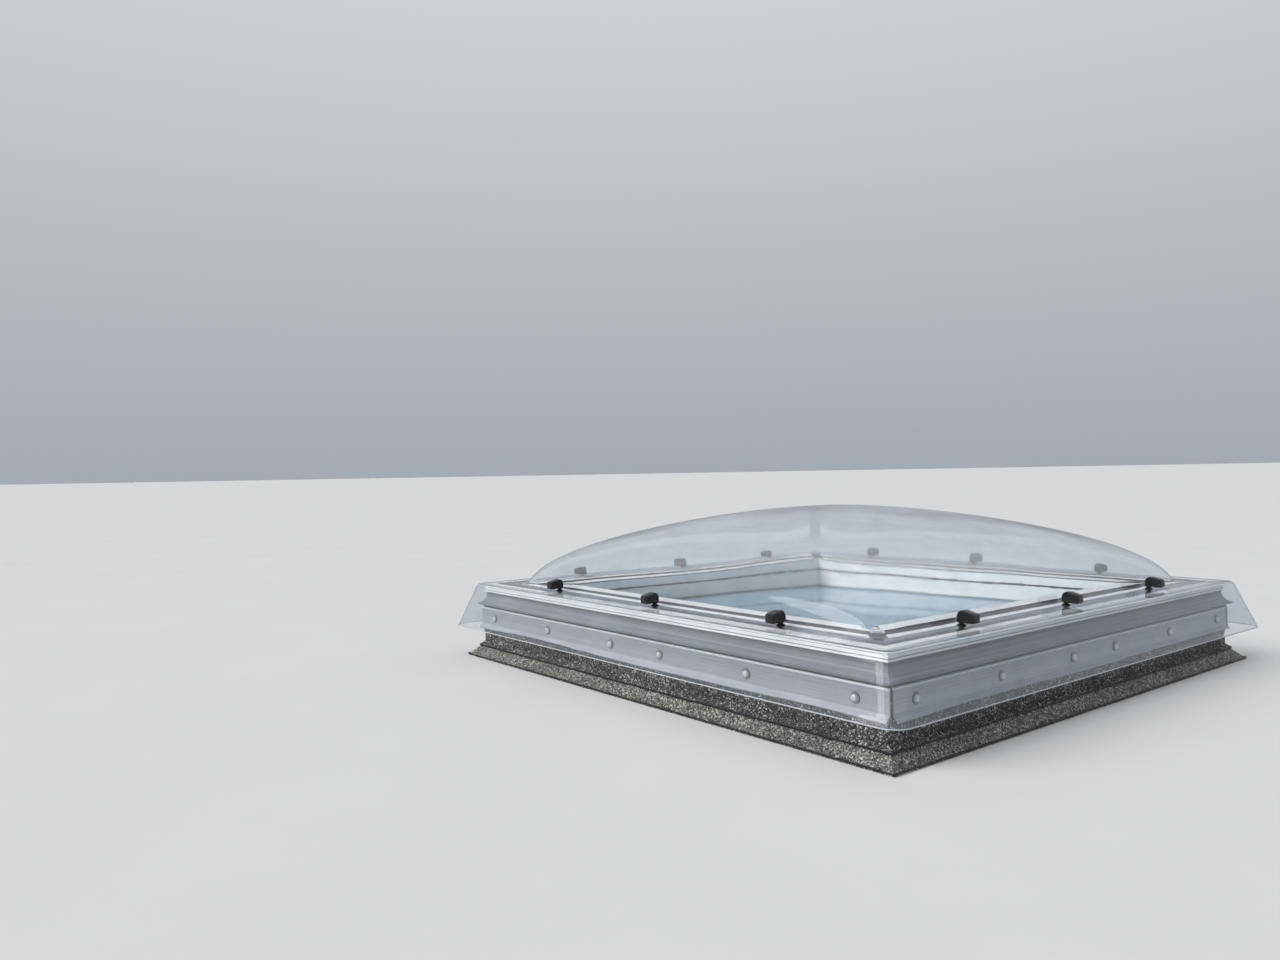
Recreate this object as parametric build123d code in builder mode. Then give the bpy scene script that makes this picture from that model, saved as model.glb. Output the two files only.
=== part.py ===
from build123d import *

import os
from math import hypot, sqrt

# Dome rooflight on a felted, insulated kerb.
# Origin at the middle of the kerb's base, +Z up. The front is -Y and the right side is +X.
# All sizes are in millimetres. An inset is measured inwards from the outside of the frame.

os.makedirs("parts", exist_ok=True)

# Frame, seen in plan
frame_side = 1200.0  # outside of the frame, over its edge trims
frame_width = 125.0  # from the edge trim's face to the frame bar's inner face
reveal_width = 25.0  # white inner frame, inside the frame bar
frame_height = 49.0  # frame bar, from the kerb's top to its own top face
frame_wall = 2.5
web_insets = (30.0, 80.0)

# Kerb and its felt
kerb_height = 120.0
kerb_board = 45.0
cant_rise = 30.0
cant_run = 30.0
felt_thickness = 4.0
felt_proud = 3.0  # felt's face outside the edge trim
felt_lap_z = 24.0  # lower edge of the upper felt, on the slope
joint_gap = 0.3  # between lengths that meet at a corner of the kerb

# Fascia and drip nose of the frame bar
trim_projection = 3.0  # edge trim's face in front of the fascia
cove_start = 30.0  # the cove starts this far above the bar's underside
nose_out = 13.5  # nose tip outside the edge trim
nose_lift = 4.0  # nose's underside above the bar's underside
nose_thickness = 3.0
nose_root = 1.5  # start of the nose's underside outside the felt

# White ribs on the frame's top
rib_height = 3.0
trim_width = 18.0
trim_drop = 18.0
trim_round = 1.5
trim_lines = (5.0, 13.5)  # fine grooves on the trim's face, below its top
trim_groove = 0.9
rest_strip_inset = 54.0
rest_strip_width = 24.0
reveal_flange = 35.0
rib_cutback = 14.0  # ribs end this far from each mitre

# Clamping rails, their screws and washers
rail_drop = 5.5  # rail's top below the kerb's top
rail_flat = 38.0
rail_thickness = 3.0
rail_bead = 1.2
rail_bead_height = 3.0
rail_flare_out = 9.0
rail_flare_drop = 7.8
rail_end_gap = 10.0  # rail's end to the frame's corner
rail_screw_drop = 20.5  # screws below the rail's top
rail_screw_end = 56.0  # first screw to the frame's corner
rail_screw_middle = 156.0  # between the two middle screws
rail_screw_radius = 2.5
rail_screw_length = 34.0
rail_head_radius = 4.6
rail_head_height = 3.6
head_chamfer = 1.2
washer_radius = 7.0
washer_thickness = 2.5
screw_clearance = 0.25

# Screws that hold the frame down on the kerb
frame_screw_inset = 12.0
frame_screw_end = 190.0
frame_screw_radius = 3.0
frame_screw_length = 60.0
frame_head_radius = 5.0
frame_head_height = 3.5
access_clearance = 0.5

# Corner keys in the frame bars' middle chamber
key_arm = 70.0
key_gap = 0.3
key_wall = 6.0

# Insulating unit and its seat
glass_sheet = 4.0
glass_gap = 16.0
glass_cover = 22.0  # edge of the unit that the beads and boards cover
glass_drop = 91.0  # unit's underside below the frame bar's top face
gasket_under = 4.0
gasket_over = 2.0
gasket_inset = 2.0  # gasket's inner edge behind the well's face
gasket_width = 14.0
edge_seal = 6.0
spacer_width = 7.0
bead_chamfer = 3.0
seam_drop = 24.0  # seam's underside below the frame bar's top face
seam_height = 3.0
seam_recess = 1.5

# Dome cover
sheet = 3.0
dome_foot_inset = 58.0
dome_rise = 183.0
dome_squareness = 1.0  # of the foot's outline: 0 is a circle, 1 a square with soft corners
dome_fullness = 2.6  # a higher value keeps the sides upright for longer
dome_crown = 0.585  # a lower value makes the crown flatter
dome_rounding = 1.27  # how soon the level lines turn round towards the crown
dome_levels = (0.0, 0.15, 0.4, 0.65, 0.85, 0.96, 0.99)  # heights of the sections, as shares of the rise
circle_arms = (0.314, 0.506)  # control points that bend a Bezier curve into a quarter circle
flange_overhang = 22.0
skirt_flare = 38.0
skirt_drop = 102.0  # from the flange's top to the skirt's lower edge
skirt_corner_top = 26.0
skirt_corner_bottom = 34.0
bend_radius = 9.0
dome_gasket_inset = 22.0
dome_gasket_width = 12.0

# Knobs, studs and grommets
knob_inset = 46.0
knob_end = 258.0  # outer knobs to the frame's corner
stud_radius = 3.0
stud_head_radius = 6.0
stud_head = 2.0
stud_reach = 22.0  # stud above the flange
knob_gap = 0.3
grommet_radius = 7.5
grommet_neck = 5.0
grommet_lip = 1.5
grommet_fit = 0.2
stem_radius = 6.5
stem_height = 8.0
wing_width = 17.0
wing_back = 8.0  # wing's inner end from the stem's axis
wing_front = 29.0  # wing's outer end from the stem's axis
wing_tall = 20.0
wing_low = 12.0
wing_round = 5.0
wing_chamfer = 1.5

# Faces and levels that several pieces share
edge = frame_side / 2
bar_top_z = kerb_height + frame_height
rib_top_z = bar_top_z + rib_height
fascia = edge - trim_projection
felt_face = edge + felt_proud
board_face = felt_face - felt_thickness
board_inner = board_face - kerb_board
bar_inner = edge - frame_width
well = bar_inner - reveal_width
glass_half = well + glass_cover
glass_bottom_z = bar_top_z - glass_drop
spacer_bottom_z = glass_bottom_z + glass_sheet
glass_top_z = spacer_bottom_z + glass_gap + glass_sheet
board_top_z = glass_bottom_z - gasket_under
bead_bottom_z = glass_top_z + gasket_over
seam_z = bar_top_z - seam_drop
seam_top_z = seam_z + seam_height
rail_face = felt_face + rail_thickness
rail_top_z = kerb_height - rail_drop
rail_screw_z = rail_top_z - rail_screw_drop
flange_top_z = rib_top_z + sheet
skirt_bottom_z = flange_top_z - skirt_drop
grommet_top_z = flange_top_z + grommet_lip
dome_half = edge - dome_foot_inset
up = Vector(0, 0, 1)

side_directions = {
    "front": Vector(0, -1, 0),
    "right": Vector(1, 0, 0),
    "back": Vector(0, 1, 0),
    "left": Vector(-1, 0, 0),
}


def section_plane(outward):
    """Upright plane across one side: local X runs outwards from the middle, local Y up."""
    return Plane(origin=(0, 0, 0), x_dir=outward, z_dir=outward.cross(up))


def mitre_planes(outward):
    """The two upright planes through the corners at the ends of one side, facing its middle."""
    along = outward.cross(up)
    return [Plane(origin=(0, 0, 0), z_dir=outward + along), Plane(origin=(0, 0, 0), z_dir=outward - along)]


def side_plane(outward, across, along, z, facing):
    """Plane at a point of one side: across is from the middle outwards, along is sideways."""
    point = outward * across + outward.cross(up) * along + up * z
    return Plane(origin=point, x_dir=outward.cross(up), z_dir=facing)


def mirrored(offsets):
    """The offsets and their mirror images, from one end of a side to the other."""
    return sorted({sign * offset for offset in offsets for sign in (-1, 1)})


def finish(piece, label):
    """Names a finished piece and writes its file."""
    piece.part.label = label
    export_step(piece.part, "parts/" + label + ".step")


rail_screw_pitch = (edge - rail_screw_end - rail_screw_middle / 2) / 2
rail_screw_offsets = mirrored([rail_screw_middle / 2 + step * rail_screw_pitch for step in range(3)])
frame_screw_offsets = mirrored([0.0, edge - frame_screw_end])
knob_offsets = mirrored([0.0, edge - knob_end])


def across_all_sides(across, offsets, z, facing=None):
    """Planes at the same places on all four sides, facing outwards unless told otherwise."""
    return [
        side_plane(outward, across, offset, z, facing or outward)
        for outward in side_directions.values()
        for offset in offsets
    ]


# Kerb boards: the front and back ones run through, the other two stand between them
for side, outward in side_directions.items():
    board_half = board_face if side in ("front", "back") else board_inner
    with BuildPart() as board:
        with BuildSketch(section_plane(outward)):
            with Locations((board_inner + kerb_board / 2, kerb_height / 2)):
                Rectangle(kerb_board, kerb_height)
        extrude(amount=board_half, both=True)
        for along in rail_screw_offsets:
            with BuildSketch(side_plane(outward, board_face, along, rail_screw_z, -outward)):
                Circle(rail_screw_radius + screw_clearance)
            extrude(amount=rail_screw_length, mode=Mode.SUBTRACT)
        for along in frame_screw_offsets:
            with BuildSketch(side_plane(outward, edge - frame_screw_inset, along, kerb_height, -up)):
                Circle(frame_screw_radius + screw_clearance)
            extrude(amount=frame_screw_length, mode=Mode.SUBTRACT)
    finish(board, "kerb_board_" + side)

# Insulation between the boards and the lining: four slabs, laid round in turn
slab_width = board_inner - bar_inner
slab_length = board_inner + bar_inner - joint_gap
with BuildPart() as slab:
    with BuildSketch(Plane.XY):
        with Locations((bar_inner + slab_width / 2, board_inner - slab_length / 2)):
            Rectangle(slab_width, slab_length)
    extrude(amount=kerb_height)
with BuildPart() as insulation:
    with PolarLocations(0, 4):
        add(slab.part)
finish(insulation, "kerb_insulation")

# Cant strips at the foot of the boards
right = side_directions["right"]
with BuildPart() as cant_strip:
    with BuildSketch(section_plane(right)):
        with BuildLine():
            Polyline((board_face, 0), (board_face + cant_run, 0), (board_face, cant_rise), close=True)
        make_face()
    extrude(amount=board_face + cant_run, both=True)
    for plane in mitre_planes(right):
        split(bisect_by=plane.offset(joint_gap / 2), keep=Keep.TOP)
with BuildPart() as cant_strips:
    with PolarLocations(0, 4):
        add(cant_strip.part)
finish(cant_strips, "cant_strips")

# Lower felt, on the slope: its thickness is measured square to the slope
slope = hypot(cant_run, cant_rise)
felt_out = felt_thickness * slope / cant_rise
felt_up = felt_thickness * slope / cant_run
toe = board_face + cant_run + felt_out
with BuildPart() as lower_strip:
    with BuildSketch(section_plane(right)):
        with BuildLine():
            Polyline(
                (board_face, cant_rise),
                (board_face + cant_run, 0),
                (toe, 0),
                (board_face, cant_rise + felt_up),
                close=True,
            )
        make_face()
    extrude(amount=toe, both=True)
    for plane in mitre_planes(right):
        split(bisect_by=plane.offset(joint_gap / 2), keep=Keep.TOP)
with BuildPart() as felt_lower:
    with PolarLocations(0, 4):
        add(lower_strip.part)
finish(felt_lower, "felt_lower")

# Upper felt: down the kerb's face and over the lower felt to the lap
lap_across = toe - felt_lap_z * cant_run / cant_rise
lap_face = (lap_across + felt_thickness * cant_rise / slope, felt_lap_z + felt_thickness * cant_run / slope)
felt_bend_z = (cant_run + 2 * felt_out - felt_thickness) * cant_rise / cant_run
for side, outward in side_directions.items():
    with BuildPart() as felt:
        with BuildSketch(section_plane(outward)):
            with BuildLine():
                Polyline(
                    (board_face, kerb_height),
                    (board_face, cant_rise + felt_up),
                    (lap_across, felt_lap_z),
                    lap_face,
                    (felt_face, felt_bend_z),
                    (felt_face, kerb_height),
                    close=True,
                )
            make_face()
        extrude(amount=toe, both=True)
        for plane in mitre_planes(outward):
            split(bisect_by=plane, keep=Keep.TOP)
        for along in rail_screw_offsets:
            with BuildSketch(side_plane(outward, felt_face, along, rail_screw_z, -outward)):
                Circle(rail_screw_radius + screw_clearance)
            extrude(amount=felt_thickness, mode=Mode.SUBTRACT)
    finish(felt, "felt_upper_" + side)

# Frame bars: hollow, mitred, with a coved fascia and a drip nose
nose_tip = edge + nose_out
web_faces = [edge - inset for inset in web_insets]
chamber_walls = [fascia - frame_wall / 2] + web_faces + [bar_inner + frame_wall / 2]
chamber_height = frame_height - 2 * frame_wall
for side, outward in side_directions.items():
    with BuildPart() as bar:
        with BuildSketch(section_plane(outward)):
            with BuildLine():
                cove = TangentArc(
                    (fascia, kerb_height + cove_start),
                    (nose_tip, kerb_height + nose_lift + nose_thickness),
                    tangent=(0, -1),
                )
                Polyline(
                    cove @ 1,
                    (nose_tip, kerb_height + nose_lift),
                    (felt_face + nose_root, kerb_height + nose_lift),
                    (felt_face, kerb_height),
                    (bar_inner, kerb_height),
                    (bar_inner, bar_top_z),
                    (fascia, bar_top_z),
                    cove @ 0,
                )
            make_face()
            for outer_wall, inner_wall in zip(chamber_walls, chamber_walls[1:]):
                with Locations(((outer_wall + inner_wall) / 2, kerb_height + frame_height / 2)):
                    Rectangle(outer_wall - inner_wall - frame_wall, chamber_height, mode=Mode.SUBTRACT)
        extrude(amount=nose_tip, both=True)
        for plane in mitre_planes(outward):
            split(bisect_by=plane, keep=Keep.TOP)
        for along in knob_offsets:
            with BuildSketch(side_plane(outward, edge - knob_inset, along, bar_top_z, -up)):
                Circle(stud_radius + screw_clearance)
            extrude(amount=frame_wall, mode=Mode.SUBTRACT)
        for along in frame_screw_offsets:
            with BuildSketch(side_plane(outward, edge - frame_screw_inset, along, bar_top_z, -up)):
                Circle(frame_head_radius + access_clearance)
            extrude(amount=frame_wall, mode=Mode.SUBTRACT)
            with BuildSketch(side_plane(outward, edge - frame_screw_inset, along, kerb_height, up)):
                Circle(frame_screw_radius + screw_clearance)
            extrude(amount=frame_wall, mode=Mode.SUBTRACT)
    finish(bar, "frame_bar_" + side)

# Corner keys: cast angles that slide into the middle chambers at each mitre
key_outer = web_faces[0] - frame_wall / 2 - key_gap
key_inner = web_faces[1] + frame_wall / 2 + key_gap
key_end = key_inner - key_arm
key_bottom_z = kerb_height + frame_wall
key_height = chamber_height - key_gap
with BuildPart() as key:
    with BuildSketch(Plane.XY.offset(key_bottom_z)) as key_plan:
        with BuildLine():
            Polyline(
                (key_outer, key_outer),
                (key_outer, key_end),
                (key_inner, key_end),
                (key_inner, key_inner),
                (key_end, key_inner),
                (key_end, key_outer),
                close=True,
            )
        make_face()
    extrude(amount=key_height)
    with BuildSketch(Plane.XY.offset(key_bottom_z + key_wall)):
        add(key_plan.sketch_local)
        offset(amount=-key_wall, kind=Kind.INTERSECTION, mode=Mode.REPLACE)
    extrude(amount=key_height, mode=Mode.SUBTRACT)
with BuildPart() as corner_keys:
    with PolarLocations(0, 4):
        add(key.part)
finish(corner_keys, "corner_keys")

# Screws through the bars' floor into the kerb boards
with BuildPart() as frame_screw:
    with BuildSketch(Plane.XY):
        Circle(frame_screw_radius)
    extrude(amount=-frame_screw_length)
    with BuildSketch(Plane.XY):
        Circle(frame_head_radius)
    extrude(amount=frame_head_height)
with BuildPart() as frame_screws:
    seat_z = kerb_height + frame_wall
    with Locations(*across_all_sides(edge - frame_screw_inset, frame_screw_offsets, seat_z, up)):
        add(frame_screw.part)
finish(frame_screws, "frame_screws")

# Edge trims: caps over the bars' outer top edge, with two fine grooves on the face
trim_bottom_z = rib_top_z - trim_drop
for side, outward in side_directions.items():
    groove_points = []
    for drop in trim_lines:
        groove_points += [
            (edge, rib_top_z - drop + trim_groove),
            (edge - trim_groove, rib_top_z - drop),
            (edge, rib_top_z - drop - trim_groove),
        ]
    with BuildPart() as trim:
        with BuildSketch(section_plane(outward)):
            with BuildLine():
                Polyline(
                    (edge - trim_width, bar_top_z),
                    (edge - trim_width, rib_top_z),
                    (edge - trim_round, rib_top_z),
                    (edge, rib_top_z - trim_round),
                    *groove_points,
                    (edge, trim_bottom_z),
                    (fascia, trim_bottom_z),
                    (fascia, bar_top_z),
                    close=True,
                )
            make_face()
        extrude(amount=edge, both=True)
        for plane in mitre_planes(outward):
            split(bisect_by=plane, keep=Keep.TOP)
    finish(trim, "edge_trim_" + side)

# Rest strips: the middle ribs, which carry the dome's foot
with BuildPart() as rest_strip:
    with BuildSketch(section_plane(right)):
        with Locations((edge - rest_strip_inset - rest_strip_width / 2, bar_top_z + rib_height / 2)):
            Rectangle(rest_strip_width, rib_height)
    extrude(amount=edge, both=True)
    for plane in mitre_planes(right):
        split(bisect_by=plane.offset(rib_cutback), keep=Keep.TOP)
with BuildPart() as rest_strips:
    with PolarLocations(0, 4):
        add(rest_strip.part)
finish(rest_strips, "rest_strips")

# Clamping rails: square-cut lengths with a bead along the top and a flared foot
rail_flat_z = rail_top_z - rail_flat
rail_foot_z = rail_flat_z - rail_flare_drop
rail_foot = rail_face + rail_flare_out
for side, outward in side_directions.items():
    with BuildPart() as rail:
        with BuildSketch(section_plane(outward)):
            with BuildLine():
                Polyline(
                    (felt_face, rail_top_z),
                    (rail_face + rail_bead, rail_top_z),
                    (rail_face + rail_bead, rail_top_z - rail_bead_height),
                    (rail_face, rail_top_z - rail_bead_height - rail_bead),
                    (rail_face, rail_flat_z),
                    (rail_foot, rail_foot_z),
                    (rail_foot - rail_thickness / sqrt(2), rail_foot_z - rail_thickness / sqrt(2)),
                    (felt_face, rail_flat_z - rail_thickness / 2),
                    close=True,
                )
            make_face()
        extrude(amount=edge - rail_end_gap, both=True)
        for along in rail_screw_offsets:
            with BuildSketch(side_plane(outward, rail_face, along, rail_screw_z, -outward)):
                Circle(rail_screw_radius + screw_clearance)
            extrude(amount=rail_thickness, mode=Mode.SUBTRACT)
    finish(rail, "clamping_rail_" + side)

# Rail screws and their sealing washers
with BuildPart() as rail_screw:
    with BuildSketch(Plane.XY):
        Circle(rail_screw_radius)
    extrude(amount=-rail_screw_length)
    with BuildSketch(Plane.XY):
        Circle(rail_head_radius)
    extrude(amount=rail_head_height)
    chamfer(rail_screw.edges().group_by(Axis.Z)[-1], length=head_chamfer)
with BuildPart() as rail_screws:
    head_seat = rail_face + washer_thickness
    with Locations(*across_all_sides(head_seat, rail_screw_offsets, rail_screw_z)):
        add(rail_screw.part)
finish(rail_screws, "rail_screws")

with BuildPart() as washer:
    with BuildSketch(Plane.XY):
        Circle(washer_radius)
        Circle(rail_screw_radius + screw_clearance, mode=Mode.SUBTRACT)
    extrude(amount=washer_thickness)
with BuildPart() as rail_washers:
    with Locations(*across_all_sides(rail_face, rail_screw_offsets, rail_screw_z)):
        add(washer.part)
finish(rail_washers, "rail_washers")

# Lining boards: the inner faces of the light well, up to the seat of the pane
for side, outward in side_directions.items():
    with BuildPart() as lining:
        with BuildSketch(section_plane(outward)):
            with Locations((well + reveal_width / 2, board_top_z / 2)):
                Rectangle(reveal_width, board_top_z)
        extrude(amount=bar_inner, both=True)
        for plane in mitre_planes(outward):
            split(bisect_by=plane, keep=Keep.TOP)
    finish(lining, "lining_board_" + side)

# Insulating unit: two sheets, the spacer between them and the seal round the spacer
for label, bottom_z in (("pane_inner", glass_bottom_z), ("pane_outer", spacer_bottom_z + glass_gap)):
    with BuildPart() as pane:
        with BuildSketch(Plane.XY.offset(bottom_z)):
            Rectangle(2 * glass_half, 2 * glass_half)
        extrude(amount=glass_sheet)
    finish(pane, label)

spacer_half = glass_half - edge_seal
rings = {
    "pane_edge_seal": (glass_half, spacer_half, spacer_bottom_z, glass_gap),
    "pane_spacer": (spacer_half, spacer_half - spacer_width, spacer_bottom_z, glass_gap),
    "seam_gasket": (bar_inner, well + seam_recess, seam_z, seam_height),
    "dome_gasket": (
        edge - dome_gasket_inset,
        edge - dome_gasket_inset - dome_gasket_width,
        bar_top_z,
        rib_height,
    ),
}
for label, (outer, inner, bottom_z, height) in rings.items():
    with BuildPart() as ring:
        with BuildSketch(Plane.XY.offset(bottom_z)):
            Rectangle(2 * outer, 2 * outer)
            Rectangle(2 * inner, 2 * inner, mode=Mode.SUBTRACT)
        extrude(amount=height)
    finish(ring, label)

# Pane gaskets: one under the unit, one between it and the beads
gasket_inner = well + gasket_inset
with BuildPart() as pane_gaskets:
    for bottom_z, height in ((board_top_z, gasket_under), (glass_top_z, gasket_over)):
        with BuildSketch(Plane.XY.offset(bottom_z)):
            Rectangle(2 * (gasket_inner + gasket_width), 2 * (gasket_inner + gasket_width))
            Rectangle(2 * gasket_inner, 2 * gasket_inner, mode=Mode.SUBTRACT)
        extrude(amount=height)
finish(pane_gaskets, "pane_gaskets")

# Glazing beads: hollow, mitred, from the pane up to the seam
for side, outward in side_directions.items():
    with BuildPart() as bead:
        with BuildSketch(section_plane(outward)):
            with BuildLine():
                Polyline(
                    (well + bead_chamfer, bead_bottom_z),
                    (bar_inner, bead_bottom_z),
                    (bar_inner, seam_z),
                    (well, seam_z),
                    (well, bead_bottom_z + bead_chamfer),
                    close=True,
                )
            make_face()
            with Locations(((well + bar_inner) / 2, (bead_bottom_z + bead_chamfer + seam_z) / 2)):
                Rectangle(
                    reveal_width - 2 * frame_wall,
                    seam_z - bead_bottom_z - bead_chamfer - 2 * frame_wall,
                    mode=Mode.SUBTRACT,
                )
        extrude(amount=bar_inner, both=True)
        for plane in mitre_planes(outward):
            split(bisect_by=plane, keep=Keep.TOP)
    finish(bead, "glazing_bead_" + side)

# Reveal frame: welded channel above the seam, whose flange is the innermost rib
flange_half = well + reveal_flange
with BuildPart() as reveal:
    with BuildSketch(Plane.XY.offset(seam_top_z)):
        Rectangle(2 * bar_inner, 2 * bar_inner)
        Rectangle(2 * well, 2 * well, mode=Mode.SUBTRACT)
    extrude(amount=bar_top_z - seam_top_z)
    with BuildSketch(Plane.XY.offset(seam_top_z)):
        Rectangle(2 * (bar_inner - frame_wall), 2 * (bar_inner - frame_wall))
        Rectangle(2 * (well + frame_wall), 2 * (well + frame_wall), mode=Mode.SUBTRACT)
    extrude(amount=bar_top_z - frame_wall - seam_top_z, mode=Mode.SUBTRACT)
    with BuildSketch(Plane.XY.offset(bar_top_z)):
        Rectangle(2 * flange_half, 2 * flange_half)
        Rectangle(2 * well, 2 * well, mode=Mode.SUBTRACT)
        with PolarLocations((well + flange_half) / 2 * sqrt(2), 4, start_angle=45):
            Rectangle(2 * reveal_flange, 2 * rib_cutback, mode=Mode.SUBTRACT)
    extrude(amount=rib_height)
finish(reveal, "reveal_frame")


def level_line(plane, reach, squareness):
    """Outline of four Bezier curves, from mid-side to mid-side round each corner."""
    near, far = [arm + (1 - arm) * squareness for arm in circle_arms]
    corner = [(1, 0), (1, near), (1, far), (far, 1), (near, 1), (0, 1)]
    with BuildSketch(plane, mode=Mode.PRIVATE) as level:
        with BuildLine():
            for turn in range(4):
                Bezier(*[(Vector(*point) * reach).rotate(Axis.Z, 90 * turn) for point in corner])
        make_face()
    return level.sketch


def dome_sections(half, foot_z):
    """Level lines of a dome, from its foot up: squares that turn round towards the crown."""
    sections = []
    for share in dome_levels:
        plane = Plane.XY.offset(foot_z + share * dome_rise)
        reach = half * (1 - share**dome_fullness) ** dome_crown
        sections.append(level_line(plane, reach, dome_squareness * (1 - share**dome_rounding)))
    return sections


# Hollow under the dome, the flange and the skirt
skirt_wall = sheet * hypot(flange_top_z - skirt_bottom_z, skirt_flare) / (flange_top_z - skirt_bottom_z)
skirt_top = edge + flange_overhang
skirt_foot = skirt_top + skirt_flare
with BuildPart() as skirt_hollow:
    with BuildSketch(Plane.XY.offset(skirt_bottom_z)):
        inner_side = 2 * (skirt_foot - skirt_wall)
        RectangleRounded(inner_side, inner_side, skirt_corner_bottom - sheet)
    with BuildSketch(Plane.XY.offset(rib_top_z)):
        inner_side = 2 * (skirt_top - skirt_wall)
        RectangleRounded(inner_side, inner_side, skirt_corner_top - sheet)
    loft(ruled=True)
    fillet(skirt_hollow.faces().sort_by(Axis.Z)[-1].edges(), radius=bend_radius - sheet)
with BuildPart() as dome_hollow:
    loft(sections=dome_sections(dome_half - sheet, rib_top_z))

# Dome cover: blown dome, flange and flared skirt in one clear sheet
with BuildPart() as cover:
    with BuildSketch(Plane.XY.offset(skirt_bottom_z)):
        RectangleRounded(2 * skirt_foot, 2 * skirt_foot, skirt_corner_bottom)
    with BuildSketch(Plane.XY.offset(flange_top_z)):
        RectangleRounded(2 * skirt_top, 2 * skirt_top, skirt_corner_top)
    loft(ruled=True)
    fillet(cover.faces().sort_by(Axis.Z)[-1].edges(), radius=bend_radius)
    add(skirt_hollow.part, mode=Mode.SUBTRACT)
    loft(sections=dome_sections(dome_half, flange_top_z))
    add(dome_hollow.part, mode=Mode.SUBTRACT)
    with BuildSketch(*across_all_sides(edge - knob_inset, knob_offsets, rib_top_z, up)):
        Circle(grommet_neck + grommet_fit)
    extrude(amount=sheet, mode=Mode.SUBTRACT)
finish(cover, "dome_cover")

# Studs riveted through the bars' top wall, and the grommets that seal them in the flange
with BuildPart() as stud:
    with BuildSketch(Plane.XY.offset(-frame_wall)):
        Circle(stud_head_radius)
    extrude(amount=-stud_head)
    with BuildSketch(Plane.XY.offset(-frame_wall)):
        Circle(stud_radius)
    extrude(amount=frame_wall + rib_height + sheet + stud_reach)
with BuildPart() as knob_studs:
    with Locations(*across_all_sides(edge - knob_inset, knob_offsets, bar_top_z, up)):
        add(stud.part)
finish(knob_studs, "knob_studs")

with BuildPart() as grommet:
    for radius, bottom, height in (
        (grommet_radius, 0, rib_height),
        (grommet_neck, rib_height, sheet),
        (grommet_radius, rib_height + sheet, grommet_lip),
    ):
        with BuildSketch(Plane.XY.offset(bottom)):
            Circle(radius)
        extrude(amount=height)
    with BuildSketch(Plane.XY):
        Circle(stud_radius + grommet_fit)
    extrude(amount=rib_height + sheet + grommet_lip, mode=Mode.SUBTRACT)
with BuildPart() as knob_grommets:
    with Locations(*across_all_sides(edge - knob_inset, knob_offsets, bar_top_z, up)):
        add(grommet.part)
finish(knob_grommets, "knob_grommets")

# Knobs: a wing that is tall at its inner end, on a round stem with a blind bore for the stud
stem_bottom_z = grommet_top_z + knob_gap
for side, outward in side_directions.items():
    for number, along in enumerate(knob_offsets, start=1):
        stem_plane = side_plane(outward, edge - knob_inset, along, stem_bottom_z, up)
        wing_plane = Plane(
            origin=stem_plane.origin + up * stem_height,
            x_dir=outward,
            z_dir=outward.cross(up),
        )
        with BuildPart() as knob:
            with BuildSketch(wing_plane):
                with BuildLine():
                    Polyline(
                        (-wing_back, 0),
                        (wing_front, 0),
                        (wing_front, wing_low),
                        (-wing_back, wing_tall),
                        close=True,
                    )
                wing = make_face()
                fillet(wing.vertices().group_by(Axis.Y)[-1], radius=wing_round)
            extrude(amount=wing_width / 2, both=True)
            flanks = knob.faces().filter_by(Axis((0, 0, 0), outward.cross(up)))
            chamfer(flanks.edges(), length=wing_chamfer)
            with BuildSketch(stem_plane):
                Circle(stem_radius)
            extrude(amount=stem_height)
            with BuildSketch(stem_plane):
                Circle(stud_radius + knob_gap)
            extrude(amount=flange_top_z + stud_reach + knob_gap - stem_bottom_z, mode=Mode.SUBTRACT)
        finish(knob, "knob_" + side + "_" + str(number))
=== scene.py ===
import math
from functools import partial
from types import SimpleNamespace

import bmesh
import bpy
import numpy as np
from mathutils import Matrix, Vector, noise


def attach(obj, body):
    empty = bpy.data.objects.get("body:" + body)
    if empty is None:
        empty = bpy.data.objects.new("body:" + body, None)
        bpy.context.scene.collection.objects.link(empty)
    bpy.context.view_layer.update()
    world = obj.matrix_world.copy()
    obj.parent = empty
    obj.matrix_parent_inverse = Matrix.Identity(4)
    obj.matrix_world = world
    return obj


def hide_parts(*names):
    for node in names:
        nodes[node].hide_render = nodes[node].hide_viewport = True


# Looks of a dome rooflight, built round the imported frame. Metres, +Z up, front -Y, right side +X.
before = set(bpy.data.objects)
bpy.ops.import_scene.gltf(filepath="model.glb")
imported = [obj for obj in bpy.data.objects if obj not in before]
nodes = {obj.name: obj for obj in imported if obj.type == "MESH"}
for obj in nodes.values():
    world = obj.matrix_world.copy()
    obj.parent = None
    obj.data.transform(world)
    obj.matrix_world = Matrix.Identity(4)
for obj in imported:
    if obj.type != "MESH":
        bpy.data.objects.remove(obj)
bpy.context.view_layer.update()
print("stage: frame loaded,", len(nodes), "nodes")

mm = 0.001
up = Vector((0, 0, 1))
sides = {
    "front": Vector((0, -1, 0)),
    "right": Vector((1, 0, 0)),
    "back": Vector((0, 1, 0)),
    "left": Vector((-1, 0, 0)),
}
lengthwise = {"front": "X", "right": "Y", "back": "X", "left": "Y"}  # the way each side's profiles run


def placeOn(outward, across, along, z):
    # across runs outwards from the middle, and along runs down the side
    return outward * across + outward.cross(up) * along + up * z


def linear(hexColour):
    channels = [int(hexColour[i:i + 2], 16) / 255 for i in (1, 3, 5)]
    return (*(c / 12.92 if c <= 0.04045 else ((c + 0.055) / 1.055) ** 2.4 for c in channels), 1.0)


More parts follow.
